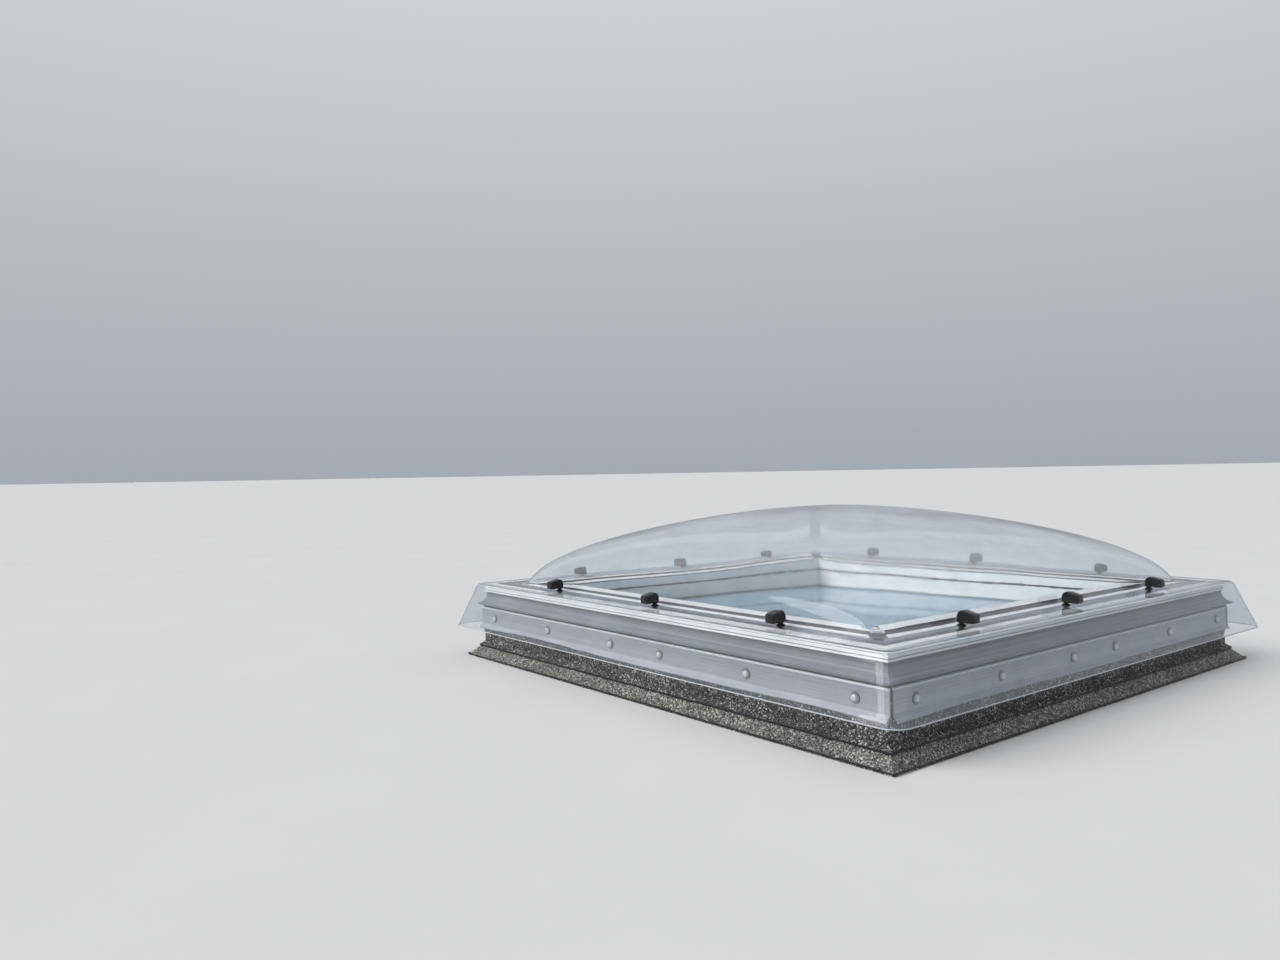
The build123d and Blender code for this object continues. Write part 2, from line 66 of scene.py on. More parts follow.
def addNode(tree, kind, settings=None, links=None, stops=()):
    # a link names an output, or a node whose first output is meant; stops are a ramp's places and colours
    node = tree.nodes.new(kind)
    for name, value in (settings or {}).items():
        if isinstance(name, str) and hasattr(node, name):
            setattr(node, name, value)
        else:
            node.inputs[name].default_value = value
    for name, source in (links or {}).items():
        tree.links.new(source.outputs[0] if hasattr(source, "outputs") else source, node.inputs[name])
    for number, (position, hexColour) in enumerate(stops):
        elements = node.color_ramp.elements
        element = elements[number] if number < 2 else elements.new(position)
        element.position, element.color = position, linear(hexColour)
    return node


def newMaterial(name):
    material = bpy.data.materials.new(name)
    material.use_nodes = True
    tree = material.node_tree
    tree.nodes.clear()
    add = partial(addNode, tree)
    return material, add, add("ShaderNodeTexCoord").outputs["Object"]


def shade(add, sockets, links, gloss, relief=None):
    # gloss: a pattern and the roughness at its two ends; relief: a pattern, its strength and its depth
    pattern, least, most = gloss
    links["Roughness"] = add("ShaderNodeMapRange", {"To Min": least, "To Max": most}, {"Value": pattern})
    if relief:
        height, strength, depth = relief
        links["Normal"] = add("ShaderNodeBump", {"Strength": strength, "Distance": depth}, {"Height": height})
    add("ShaderNodeBsdfPrincipled", sockets, links)


def drawnScale(alongX, spacing, length):
    # scale of a pattern that is fine across a profile and long down it
    across, along = 1 / spacing, 1 / length
    return (along, across, across) if alongX else (across, along, across)


print("stage: materials")

extruded = SimpleNamespace(
    streakSpacing=1.6 * mm,  # die lines across the extrusion
    streakLength=900 * mm,
    grimeSize=140 * mm, grimeShare=0.35,
    lineRelief=0.04 * mm,
    dust="#4E4F51",  # it lies on the faces that are flat, and takes their shine
    frame={
        "dark": "#63666B", "light": "#989BA0", "roughness": 0.56, "metallic": 0.4, "dusty": 1.0,
        "band": (143 * mm, 151 * mm, "#484B4C", 0.8),  # heights, colour and share of the painted shade under the trims
    },
    rail={
        "dark": "#9A9CA0", "light": "#B8BABE", "roughness": 0.5, "metallic": 0.55, "dusty": 0.0,
        "band": (113.2 * mm, 113.9 * mm, "#F2F3F4", 0.8),  # a painted highlight along the top bead
    },
)


def extrudedMetal(name, alongX, dark, light, roughness, metallic, dusty, band):
    # Aluminium as it leaves the die: fine lines run along it and draw the highlight out across them.
    material, add, points = newMaterial(name)
    scale = drawnScale(alongX, extruded.streakSpacing, extruded.streakLength)
    drawn = add("ShaderNodeMapping", {"Scale": scale}, {"Vector": points})
    lines = add("ShaderNodeTexNoise", {"Scale": 1.0, "Detail": 3.0, "Roughness": 0.6}, {"Vector": drawn})
    grime = add("ShaderNodeTexNoise", {"Scale": 1 / extruded.grimeSize, "Detail": 5.0}, {"Vector": points})
    mixed = add("ShaderNodeMix", {"data_type": "FLOAT", "Factor": extruded.grimeShare},
                {"A": lines, "B": grime})
    tone = add("ShaderNodeValToRGB", {}, {"Fac": mixed}, [(0.32, dark), (0.66, light)])
    surface = add("ShaderNodeNewGeometry")
    facing = add("ShaderNodeSeparateXYZ", links={"Vector": surface.outputs["Normal"]})
    flat = add("ShaderNodeMapRange", {"From Min": 0.9, "From Max": 0.98, "To Max": dusty},
               {"Value": facing.outputs["Z"]})
    place = add("ShaderNodeSeparateXYZ", links={"Vector": points})
    # painted light by height: painted shade under the trims on the frame, a painted highlight along the
    # rail's bead
    paintedLightFrom, paintedLightTo, paintedLightColour, paintedLightStrength = band
    paintedLightMask = add("ShaderNodeMapRange", {"From Min": paintedLightFrom, "From Max": paintedLightTo, "To Max": paintedLightStrength},
               {"Value": place.outputs["Z"]})
    paintedLightTone = add("ShaderNodeMix", {"data_type": "RGBA", 7: linear(paintedLightColour)}, {"Factor": paintedLightMask, 6: tone})
    weathered = add("ShaderNodeMix", {"data_type": "RGBA", 7: linear(extruded.dust)},
                    {"Factor": flat, 6: paintedLightTone.outputs[2]})
    dull = add("ShaderNodeMath", {"operation": "MAXIMUM"}, {0: flat, 1: paintedLightMask})
    shine = add("ShaderNodeMapRange", {"To Min": metallic, "To Max": 0.0}, {"Value": dull})
    shade(add, {"Specular IOR Level": 0.2}, {"Base Color": weathered.outputs[2], "Metallic": shine},
          (grime, roughness - 0.06, roughness + 0.1), (lines, 0.5, extruded.lineRelief))
    return material


pvc = SimpleNamespace(
    dark="#E2E3E3", light="#F5F5F4",
    lineSpacing=2.4 * mm, lineLength=1200 * mm, lineRelief=0.03 * mm, dustSize=60 * mm,
)
ribShadeAndDirt = SimpleNamespace(  # painted shade, with some grime, on the ribs' flanks
    bottom=168.6 * mm, top=171.7 * mm, colour="#48494B", share=0.95,
)
trimLines = SimpleNamespace(  # the two fine grooves of the edge trims are drawn as darker lines
    bottom=154 * mm, top=172 * mm, lines=(158.5 * mm, 167 * mm), half=0.8 * mm,
    dirt="#85888A", clean="#FFFFFF",
)


def rigidPvc(name, alongX, lined=False):
    # White rigid PVC profile: satin gloss, faint drawing lines and a little roof dust in the corners.
    material, add, points = newMaterial(name)
    scale = drawnScale(alongX, pvc.lineSpacing, pvc.lineLength)
    drawn = add("ShaderNodeMapping", {"Scale": scale}, {"Vector": points})
    lines = add("ShaderNodeTexNoise", {"Scale": 1.0, "Detail": 2.0}, {"Vector": drawn})
    dust = add("ShaderNodeTexNoise",
               {"Scale": 1 / pvc.dustSize, "Detail": 6.0, "Roughness": 0.65}, {"Vector": points})
    mixed = add("ShaderNodeMix", {"data_type": "FLOAT", "Factor": 0.5}, {"A": lines, "B": dust})
    tone = add("ShaderNodeValToRGB", {}, {"Fac": mixed}, [(0.3, pvc.dark), (0.62, pvc.light)])
    place = add("ShaderNodeSeparateXYZ", links={"Vector": points})
    if lined:
        bottom, span = trimLines.bottom, trimLines.top - trimLines.bottom
        share = add("ShaderNodeMapRange", {"From Min": bottom, "From Max": trimLines.top},
                    {"Value": place.outputs["Z"]})
        stops = [(0.0, trimLines.clean)]
        for z in trimLines.lines:
            for edge, colour in ((-1, trimLines.dirt), (1, trimLines.clean)):
                stops.append(((z + edge * trimLines.half - bottom) / span, colour))
        ruled = add("ShaderNodeValToRGB", {}, {"Fac": share}, stops)
        ruled.color_ramp.interpolation = "CONSTANT"
        darkenedTone = add("ShaderNodeMix", {"data_type": "RGBA", "blend_type": "MULTIPLY", "Factor": 1.0},
                   {6: tone, 7: ruled})
    else:
        # painted shade, with some grime: the ribs' steep flanks are darkened between these heights
        surface = add("ShaderNodeNewGeometry")
        facing = add("ShaderNodeSeparateXYZ", links={"Vector": surface.outputs["Normal"]})
        share = add("ShaderNodeMath", {"operation": "COMPARE", 1: 0.0, 2: 0.4},
                    {0: facing.outputs["Z"]})  # 1 on the steep faces
        for operation, height in (("GREATER_THAN", ribShadeAndDirt.bottom), ("LESS_THAN", ribShadeAndDirt.top)):
            within = add("ShaderNodeMath", {"operation": operation, 1: height}, {0: place.outputs["Z"]})
            share = add("ShaderNodeMath", {"operation": "MULTIPLY"}, {0: share, 1: within})
        share = add("ShaderNodeMath", {"operation": "MULTIPLY", 1: ribShadeAndDirt.share}, {0: share})
        darkenedTone = add("ShaderNodeMix", {"data_type": "RGBA", 7: linear(ribShadeAndDirt.colour)},
                   {"Factor": share, 6: tone})
    shade(add, {"IOR": 1.53, "Specular IOR Level": 0.35}, {"Base Color": darkenedTone.outputs[2]},
          (dust, 0.28, 0.46), (lines, 0.35, pvc.lineRelief))
    return material


grit = SimpleNamespace(
    size=2.3 * mm,  # real grains are about 1 mm: drawn coarser so that the speckle shows
    relief=0.9 * mm, patchSize=90 * mm, patchShare=0.25,
    bitumen="#0E0E0F", brightest="#D2D3D0",
    bareFrom=107 * mm, bareTo=113 * mm,  # height over which the grains end at the sheet's head, which goes near black: its own bitumen, and painted shadow under the frame's nose
)


def mineralFelt(name, dark, mid, pale):
    # Bitumen felt under slate granules: a matt, sparkling speckle, with black bitumen free of grains at its
    # head, darkened there also as painted shadow under the frame's nose.
    material, add, points = newMaterial(name)
    grains = add("ShaderNodeTexVoronoi", {"Scale": 1 / grit.size, "Randomness": 1.0}, {"Vector": points})
    cells = add("ShaderNodeSeparateColor", links={"Color": grains.outputs["Color"]})
    patches = add("ShaderNodeTexNoise", {"Scale": 1 / grit.patchSize, "Detail": 4.0}, {"Vector": points})
    mixed = add("ShaderNodeMix", {"data_type": "FLOAT", "Factor": grit.patchShare},
                {"A": cells, "B": patches})
    tone = add("ShaderNodeValToRGB", {}, {"Fac": mixed},
               [(0.2, dark), (0.48, mid), (0.66, mid), (0.8, pale), (0.9, grit.brightest)])
    place = add("ShaderNodeSeparateXYZ", links={"Vector": points})
    # painted shadow under the frame's nose: the sheet's head turns near black, as its bitumen
    shadedHead = add("ShaderNodeMapRange", {"From Min": grit.bareFrom, "From Max": grit.bareTo},
               {"Value": place.outputs["Z"]})
    sheet = add("ShaderNodeMix", {"data_type": "RGBA", 7: linear(grit.bitumen)}, {"Factor": shadedHead, 6: tone})
    gloss = add("ShaderNodeMapRange", {"To Min": 0.62, "To Max": 0.95}, {"Value": cells.outputs["Green"]})
    bump = add("ShaderNodeBump", {"Strength": 0.9, "Distance": grit.relief, "invert": True},
               {"Height": grains.outputs["Distance"]})
    add("ShaderNodeBsdfPrincipled", {"IOR": 1.5},
        {"Base Color": sheet.outputs[2], "Roughness": gloss, "Normal": bump})
    return material


def grainStone(name, fleckSize):
    # Slate grains that stand out of the felt: each has its own tone, which its mesh carries.
    material, add, points = newMaterial(name)
    mark = add("ShaderNodeAttribute", {"attribute_name": "grainTone"})
    tone = add("ShaderNodeValToRGB", {}, {"Fac": mark.outputs["Fac"]},
               [(0, "#1C1C1D"), (0.45, "#3A3A3B"), (0.72, "#747573"), (0.9, "#B4B4AF"), (1, "#DEDED8")])
    fleck = add("ShaderNodeTexNoise", {"Scale": 1 / fleckSize}, {"Vector": points})
    shade(add, {"IOR": 1.54}, {"Base Color": tone}, (fleck, 0.35, 0.75))
    return material


acrylic = SimpleNamespace(
    clean="#F2F5F8", dusty="#E3E9F0", dustSize=38 * mm, waveSize=110 * mm, waveRelief=1.2 * mm,
)


def blownAcrylic(name):
    # Clear acrylic, blown while soft: water clear with a cool tint, slow waves and a thin film of dust.
    material, add, points = newMaterial(name)
    waves = add("ShaderNodeTexNoise", {"Scale": 1 / acrylic.waveSize, "Detail": 1.0}, {"Vector": points})
    dust = add("ShaderNodeTexNoise",
               {"Scale": 1 / acrylic.dustSize, "Detail": 7.0, "Roughness": 0.7}, {"Vector": points})
    film = add("ShaderNodeValToRGB", {}, {"Fac": dust}, [(0.35, acrylic.clean), (0.75, acrylic.dusty)])
    shade(add, {"IOR": 1.49, "Transmission Weight": 0.965}, {"Base Color": film},
          (dust, 0.0, 0.05), (waves, 0.16, acrylic.waveRelief))
    return material


nylon = SimpleNamespace(
    dark="#0B0C0E", light="#1F2023",
    sparkSize=0.9 * mm, sparkRelief=0.12 * mm, wearSize=14 * mm,
)


def mouldedNylon(name):
    # Black glass-filled nylon from a mould: fine spark texture, soft highlights on the edges.
    material, add, points = newMaterial(name)
    spark = add("ShaderNodeTexNoise", {"Scale": 1 / nylon.sparkSize, "Detail": 3.0}, {"Vector": points})
    wear = add("ShaderNodeTexNoise", {"Scale": 1 / nylon.wearSize, "Detail": 4.0}, {"Vector": points})
    tone = add("ShaderNodeValToRGB", {}, {"Fac": wear}, [(0.3, nylon.dark), (0.75, nylon.light)])
    shade(add, {"IOR": 1.53}, {"Base Color": tone}, (wear, 0.25, 0.45), (spark, 0.4, nylon.sparkRelief))
    return material


softwood = SimpleNamespace(dark="#A57F4E", light="#D1B07C", ringSize=40 * mm, stretch=20, sawRelief=0.2 * mm)


def sawnSoftwood(name, alongX):
    # Sawn softwood: its growth rings make long, wavering bands, and the saw leaves the face rough.
    material, add, points = newMaterial(name)
    drawn = add("ShaderNodeMapping", {"Scale": drawnScale(alongX, 1, softwood.stretch)},
                {"Vector": points})
    rings = add("ShaderNodeTexWave",
                {"Scale": 1 / softwood.ringSize, "Distortion": 6.0, "Detail": 3.0}, {"Vector": drawn})
    bands = rings.outputs["Fac"]
    tone = add("ShaderNodeValToRGB", {}, {"Fac": bands}, [(0.1, softwood.dark), (0.9, softwood.light)])
    shade(add, {}, {"Base Color": tone}, (bands, 0.6, 0.8), (bands, 0.5, softwood.sawRelief))
    return material


def plainFinish(name, dark, light, size, roughness, relief, sockets):
    # Finishes that differ only in tone, grain size and gloss: the table says what each gives the eye.
    material, add, points = newMaterial(name)
    grain = add("ShaderNodeTexNoise", {"Scale": 1 / size, "Detail": 4.0}, {"Vector": points})
    tone = add("ShaderNodeValToRGB", {}, {"Fac": grain}, [(0.3, dark), (0.7, light)])
    shade(add, sockets, {"Base Color": tone}, (grain, *roughness), (grain, 0.5, relief))
    return material


finishes = {
    "felt": mineralFelt("mineralFelt", "#1A1A1B", "#434344", "#7C7D7B"),
    "paleFelt": mineralFelt("paleMineralFelt", "#2E2E2E", "#73736F", "#B2B2AB"),
    "grain": grainStone("slateGranules", 0.8 * mm),
    "dome": blownAcrylic("blownAcrylic"),
    "knob": mouldedNylon("mouldedNylon"),
}
for direction in "XY":
    alongX = direction == "X"
    anodised = "anodisedAluminium" + direction
    finishes["frame" + direction] = extrudedMetal(anodised, alongX, **extruded.frame)
    finishes["rail" + direction] = extrudedMetal("millAluminium" + direction, alongX, **extruded.rail)
    finishes["pvc" + direction] = rigidPvc("whitePvc" + direction, alongX)
    finishes["trim" + direction] = rigidPvc("linedPvc" + direction, alongX, lined=True)
    finishes["wood" + direction] = sawnSoftwood("sawnSoftwood" + direction, alongX)

opaque = {"IOR": 1.5}
for key, name, dark, light, size, roughness, relief, sockets in (  # sizes and reliefs in mm
    # squeezed out of a torched lap: near black, smooth and a little shiny where it ran
    ("bitumen", "hotBitumen", "#0B0B0C", "#1E1E1E", 9, (0.3, 0.65), 0.5, {"IOR": 1.6}),
    # the sheet's sawn rim, frosted by the blade, so that it gathers light into a pale line
    ("sawnEdge", "sawnAcrylicEdge", "#B4BAC1", "#D2D7DC", 1.5, (0.35, 0.6), 0.05,
     {"IOR": 1.49, "Transmission Weight": 0.25}),
    # float glass with a soft coating: its pale-blue base colour is a painted sky reflection, and it lets
    # light through
    ("paneOuter", "coatedFloatGlass", "#9AB7C9", "#AFC9D8", 150, (0.05, 0.11), 0.01,
     {"IOR": 1.52, "Transmission Weight": 0.5}),
    # laminated sheet with a hazy interlayer: light comes through it and shapes do not; its pale blue is
    # painted sky reflection
    ("paneInner", "hazyLaminatedGlass", "#B3C8D3", "#C7D7DE", 150, (0.5, 0.62), 0.01,
     {"IOR": 1.52, "Transmission Weight": 0.5}),
    # plated screws are bright, and the pressed washers under them are duller
    ("steel", "zincPlatedSteel", "#D9DADB", "#EEEFEF", 1.5, (0.24, 0.4), 0.02, {"Metallic": 0.4}),
    ("washer", "stainlessWasher", "#76787B", "#96989B", 2, (0.3, 0.46), 0.02, {"Metallic": 0.6}),
    # moulded rubber: matt and near black, or matt and soft grey
    ("rubber", "epdmRubber", "#131314", "#242527", 3, (0.6, 0.78), 0.1, opaque),
    ("greyRubber", "greyEpdm", "#86898B", "#A2A5A6", 3, (0.6, 0.78), 0.1, opaque),
    ("foam", "rigidFoam", "#D9CB93", "#E9DEB0", 2, (0.77, 0.93), 0.4, opaque),  # cells cut open
    ("cantBoard", "mineralBoard", "#7A6446", "#977E5B", 5, (0.77, 0.93), 0.5, opaque),  # pressed fibre
    ("castKey", "castAluminium", "#7E8083", "#9B9DA0", 1.2, (0.42, 0.58), 0.1, {"Metallic": 0.9}),  # grainy
    ("spacer", "brightSpacer", "#B5B7BA", "#CFD1D3", 6, (0.22, 0.38), 0.02, {"Metallic": 1.0}),  # rolled
    ("lining", "satinPaint", "#DCDEDF", "#EDEEEE", 25, (0.37, 0.53), 0.15, opaque),  # brushed on, even
):
    finishes[key] = plainFinish(name, dark, light, size * mm, roughness, relief * mm, sockets)
for material in finishes.values():
    shader = material.node_tree.nodes["Principled BSDF"]
    addNode(material.node_tree, "ShaderNodeOutputMaterial", links={"Surface": shader})

nodeFinish = {
    "cant_strips": "cantBoard", "corner_keys": "castKey", "dome_gasket": "rubber", "dome_cover": "dome",
    "felt_lower": "paleFelt", "frame_screws": "steel", "kerb_insulation": "foam", "knob_grommets": "rubber",
    "knob_studs": "steel", "pane_edge_seal": "rubber", "pane_gaskets": "greyRubber",
    "pane_inner": "paneInner", "pane_outer": "paneOuter", "pane_spacer": "spacer", "rail_screws": "steel",
    "rail_washers": "washer", "rest_strips": "pvcX", "reveal_frame": "pvcX", "seam_gasket": "rubber",
}
sideFinish = {
    "clamping_rail": "rail", "edge_trim": "trim", "frame_bar": "frame", "glazing_bead": "pvc",
    "kerb_board": "wood",
}
for side in sides:
    for part, finish in sideFinish.items():
        nodeFinish[part + "_" + side] = finish + lengthwise[side]
    nodeFinish["felt_upper_" + side] = "felt"
    nodeFinish["lining_board_" + side] = "lining"
    for number in (1, 2, 3):
        nodeFinish["knob_" + side + "_" + str(number)] = "knob"
for name, node in nodes.items():
    node.data.materials.clear()
    node.data.materials.append(finishes[nodeFinish[name]])


def newObject(name, data, material=None, smoothAngle=None):
    piece = bpy.data.objects.new(name, data)
    bpy.context.scene.collection.objects.link(piece)
    if material is not None:
        data.materials.append(material)
    if smoothAngle is not None:
        data.shade_smooth()
        data.set_sharp_from_angle(angle=math.radians(smoothAngle))
    return piece


def meshObject(name, points, faces, material, smoothAngle=None):
    mesh = bpy.data.meshes.new(name)
    mesh.from_pydata([tuple(p) for p in points], [], [tuple(f) for f in faces])
    mesh.validate()
    mesh.update()
    return newObject(name, mesh, material, smoothAngle)


def shapeObject(name, shape, material=None, smoothAngle=None):
    mesh = bpy.data.meshes.new(name)
    shape.to_mesh(mesh)
    shape.free()
    return newObject(name, mesh, material, smoothAngle)


def pushedOutline(outline, push):
    shape = bmesh.new()
    face = shape.faces.new([shape.verts.new(p) for p in outline])
    pushed = bmesh.ops.extrude_face_region(shape, geom=[face])
    moved = [v for v in pushed["geom"] if isinstance(v, bmesh.types.BMVert)]
    bmesh.ops.translate(shape, verts=moved, vec=push)
    bmesh.ops.recalc_face_normals(shape, faces=shape.faces)
    return shape


def outwardFaces(piece):
    shape = bmesh.new()
    shape.from_mesh(piece.data)
    bmesh.ops.remove_doubles(shape, verts=shape.verts, dist=1e-6)
    bmesh.ops.recalc_face_normals(shape, faces=shape.faces)
    shape.to_mesh(piece.data)
    shape.free()
    return piece


def finishPiece(piece, body, slot, *replaced):
    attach(piece, body)
    if replaced:
        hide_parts(*replaced)
    return piece


def evaluatedMesh(piece):
    graph = bpy.context.evaluated_depsgraph_get()
    return bpy.data.meshes.new_from_object(piece.evaluated_get(graph), depsgraph=graph)


def runTree(source, tree, values):
    modifier = source.modifiers.new(tree.name, "NODES")
    modifier.node_group = tree
    for item in tree.interface.items_tree:
        if item.item_type == "SOCKET" and item.in_out == "INPUT" and item.name in values:
            modifier[item.identifier] = values[item.name]
    source.update_tag()
    mesh = evaluatedMesh(source)
    source.modifiers.remove(modifier)
    source.data = mesh


def newTree(name, inputs):
    tree = bpy.data.node_groups.new(name, "GeometryNodeTree")
    tree.interface.new_socket("Geometry", in_out="INPUT", socket_type="NodeSocketGeometry")
    tree.interface.new_socket("Geometry", in_out="OUTPUT", socket_type="NodeSocketGeometry")
    for label, (kind, value) in inputs.items():
        socket = tree.interface.new_socket(label, in_out="INPUT", socket_type=kind)
        if value is not None:
            socket.default_value = value
    add = partial(addNode, tree)
    return tree, add, add("NodeGroupInput").outputs


def madeReal(add, shape, finish):
    # copies become a mesh of their own and take their finish
    real = add("GeometryNodeRealizeInstances", links={"Geometry": shape})
    return add("GeometryNodeSetMaterial", links={"Geometry": real, "Material": finish})


print("stage: dome cover")

domeCover = SimpleNamespace(
    sheet=3 * mm, footHalf=542 * mm, rise=181.1 * mm, footRound=6 * mm,
    fullness=2.6, crown=0.585, rounding=1.27, circleArms=(0.314, 0.506),
    flangeHalf=622 * mm, flangeCorner=26 * mm, skirtHalf=660 * mm, skirtCorner=34 * mm,
    bend=9 * mm, leastCorner=8 * mm, flangeTop=175 * mm, skirtBottom=73 * mm,
    quarterSteps=36, skirtRings=5, bendRings=6, flangeRings=6, footRings=5, domeRings=48,
    crowding=1.25,  # the dome's rings lie closer together towards its foot
    footClear=1.25,  # and start this many rounds of the foot up
    rim=1.8 * mm, rimSlack=0.1 * mm,
    unevenness=0.14, unevenSpan=210 * mm,  # blowing leaves the wall thicker and thinner
)


def roundedQuarter(half, corner, steps):
    points = []
    straight, third = half - corner, steps // 3
    for step in range(steps):
        if step < third:
            share = 1 - (1 - step / third) ** 2
            points.append((half, straight * share))
        elif step < 2 * third:
            angle = (step - third) / third * math.pi / 2
            points.append((straight + corner * math.cos(angle), straight + corner * math.sin(angle)))
        else:
            share = ((step - 2 * third) / (steps - 2 * third)) ** 2
            points.append((straight * (1 - share), half))
    return points


def bezierQuarter(half, squareness, steps):
    near, far = [arm + (1 - arm) * squareness for arm in domeCover.circleArms]
    hull = [(1, 0), (1, near), (1, far), (far, 1), (near, 1), (0, 1)]
    points = []
    for step in range(steps):
        t = step / steps
        weights = [math.comb(5, k) * t**k * (1 - t)**(5 - k) for k in range(6)]
        points.append(tuple(half * sum(w * p[axis] for w, p in zip(weights, hull)) for axis in (0, 1)))
    return points


def fullTurn(quarter, z):
    ring = []
    for turn in range(4):
        for x, y in quarter:
            for _ in range(turn):
                x, y = -y, x
            ring.append((x, y, z))
    return ring


def shares(count):
    return np.linspace(0, 1, count + 1)[1:]


def domeRings():
    d = domeCover
    steps = d.quarterSteps
    drop = d.flangeTop - d.skirtBottom
    flare = d.skirtHalf - d.flangeHalf
    slant = math.atan2(flare, drop)  # the skirt leans out by this angle
    reach = d.bend * math.tan((math.pi / 2 - slant) / 2)
    rings = []
    skirtEnd = d.flangeTop - reach * math.cos(slant)
    for share in [0, d.rim / (skirtEnd - d.skirtBottom), *shares(d.skirtRings)]:
        z = d.skirtBottom + (skirtEnd - d.skirtBottom) * share
        lean = (d.flangeTop - z) / drop
        corner = d.flangeCorner + (d.skirtCorner - d.flangeCorner) * lean
        rings.append(fullTurn(roundedQuarter(d.flangeHalf + flare * lean, corner, steps), z))
    flangeIn, bendCentre = d.flangeHalf - reach, d.flangeTop - d.bend
    for angle in np.linspace(slant, math.pi / 2, d.bendRings + 1)[1:]:
        half = flangeIn + d.bend * math.cos(angle)
        corner = max(d.flangeCorner - (d.flangeHalf - half), d.leastCorner)
        z = bendCentre + d.bend * math.sin(angle)
        rings.append(fullTurn(roundedQuarter(half, corner, steps), z))
    footOut = d.footHalf + d.footRound
    for share in shares(d.flangeRings):
        half = flangeIn + (footOut - flangeIn) * share
        outer = roundedQuarter(half, d.flangeCorner - (d.flangeHalf - flangeIn), steps)
        inner = bezierQuarter(half, 1.0, steps)
        mixed = [tuple(a + (b - a) * share for a, b in zip(p, q)) for p, q in zip(outer, inner)]
        rings.append(fullTurn(mixed, d.flangeTop))
    for angle in np.linspace(0, math.pi / 2, d.footRings + 1)[1:]:
        half = footOut - d.footRound * math.sin(angle)
        z = d.flangeTop + d.footRound * (1 - math.cos(angle))
        rings.append(fullTurn(bezierQuarter(half, 1.0, steps), z))
    clearOfFoot = d.footRound / d.rise * d.footClear
    for step in range(1, d.domeRings):
        turn = (step / d.domeRings) ** d.crowding * math.pi / 2
        share = (1 - math.cos(turn) ** (1 / d.crown)) ** (1 / d.fullness)
        if share > clearOfFoot:
            half = d.footHalf * (1 - share ** d.fullness) ** d.crown
            level = bezierQuarter(half, 1 - share ** d.rounding, steps)
            rings.append(fullTurn(level, d.flangeTop + share * d.rise))
    return rings


def blownSheet():
    d = domeCover
    rings = np.array(domeRings())
    count, around = rings.shape[:2]
    crown = np.array([0, 0, d.flangeTop + d.rise])
    acrossRing = np.roll(rings, -1, axis=1) - np.roll(rings, 1, axis=1)
    upRing = np.gradient(rings, axis=0)
    normals = np.cross(acrossRing, upRing)
    normals /= np.linalg.norm(normals, axis=2, keepdims=True)
    wall = np.array([[1 + d.unevenness * noise.noise(Vector(p) / d.unevenSpan) for p in ring]
                     for ring in rings])
    inner = rings - normals * (wall * d.sheet)[:, :, None]
    lean = normals[0, :, 2:3]
    level = np.concatenate([normals[0, :, :2], 0 * lean], axis=1)  # the rim is cut level
    inner[0] = rings[0] - level * d.sheet / (1 - lean**2)
    crowns = [crown, crown - [0, 0, d.sheet]]
    points = np.concatenate([rings.reshape(-1, 3), inner.reshape(-1, 3), crowns])
    faces = []
    offset = count * around
    last = (count - 1) * around
    for k in range(count - 1):
        for i in range(around):
            j = (i + 1) % around
            faces.append((k * around + i, k * around + j, (k + 1) * around + j, (k + 1) * around + i))
            faces.append(tuple(offset + v for v in reversed(faces[-1])))
    for i in range(around):
        j = (i + 1) % around
        faces.append((last + i, last + j, 2 * offset))
        faces.append((offset + last + j, offset + last + i, 2 * offset + 1))
        faces.append((j, i, offset + i, offset + j))
    piece = meshObject("domeCover", points, faces, finishes["dome"], smoothAngle=50)
    mesh = piece.data
    mesh.materials.append(finishes["sawnEdge"])
    for polygon in mesh.polygons:
        top = max(mesh.vertices[v].co.z for v in polygon.vertices)
        if top < d.skirtBottom + d.rim + d.rimSlack:
            polygon.material_index = 1
    return piece


cover = finishPiece(blownSheet(), "root", "clear_sheet", "dome_cover")
for clear in (cover, nodes["pane_outer"], nodes["pane_inner"]):
    clear.visible_shadow = False  # daylight passes through the clear sheets

print("stage: knobs")

knob = SimpleNamespace(
    across=554 * mm, endFromCorner=258 * mm, frameHalf=600 * mm, bottom=176.8 * mm,
    stemRadius=4.3 * mm, stemHeight=3.6 * mm, stemSunk=1 * mm, stemSides=32,
    collarRadius=7.2 * mm, collarHeight=1.4 * mm,
    width=19 * mm, back=4.5 * mm, front=30 * mm, tall=23 * mm, low=16 * mm,
    backRound=10 * mm, noseRound=4.5 * mm, underRound=4 * mm,
    edgeRound=3 * mm, edgeSteps=4, edgeAngle=60, panelBorder=1.2 * mm, panelDepth=0.9 * mm,
)


def roundedOutline(corners, steps=5):
    outline = []
    for before, corner, after in zip(corners[-1:] + corners[:-1], corners, corners[1:] + corners[:1]):
        point, radius = Vector(corner[:2]), corner[2]
        back, ahead = (Vector(before[:2]) - point).normalized(), (Vector(after[:2]) - point).normalized()
        half = back.angle(ahead) / 2
        reach = radius / math.tan(half)
        centre = point + (back + ahead).normalized() * radius / math.sin(half)
        start, end = [math.atan2(*reversed(point + way * reach - centre)) for way in (back, ahead)]
        turn = (end - start + math.pi) % (2 * math.pi) - math.pi
        for k in range(steps + 1):
            angle = start + turn * k / steps
            outline.append((centre.x + radius * math.cos(angle), centre.y + radius * math.sin(angle)))
    return outline


def wingOutline():
    k = knob
    return roundedOutline([
        (-k.back, 0, k.underRound), (k.front, 0, k.underRound),
        (k.front, k.low, k.noseRound), (-k.back + k.noseRound, k.tall, k.backRound),
        (-k.back, k.tall / 2, k.noseRound),
    ])


